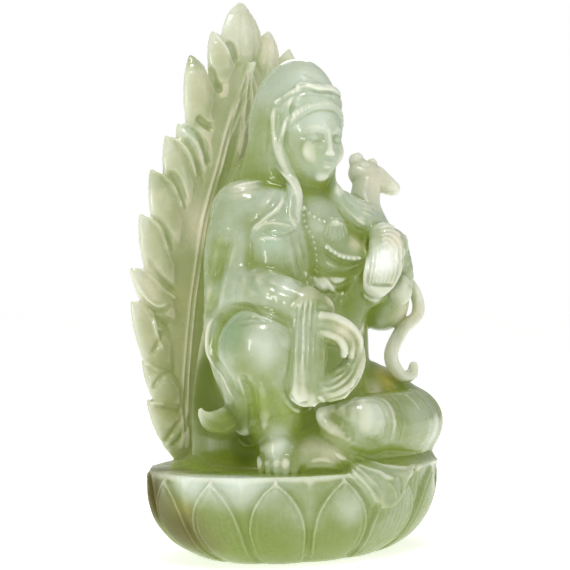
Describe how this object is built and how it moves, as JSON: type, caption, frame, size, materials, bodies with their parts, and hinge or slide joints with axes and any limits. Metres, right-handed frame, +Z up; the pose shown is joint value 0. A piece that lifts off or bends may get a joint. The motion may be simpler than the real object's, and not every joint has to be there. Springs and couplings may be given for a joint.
{
  "type": "guanyin figure",
  "caption": "Carved stone figure of a hooded Guanyin seated at ease on an oval lotus plinth, in front of a pointed flaming halo.",
  "frame": {"origin": "centre of the plinth's underside", "axes": "+Z up from the underside to the tip of the halo, -Y the way the figure faces, +X towards the figure's left hand"},
  "size_m": [0.1378, 0.0979, 0.2397],
  "materials": {
    "jade": "polished, translucent pale green stone"
  },
  "bodies": {
    "root": {"guanyin": "jade"}
  },
  "joints": []
}
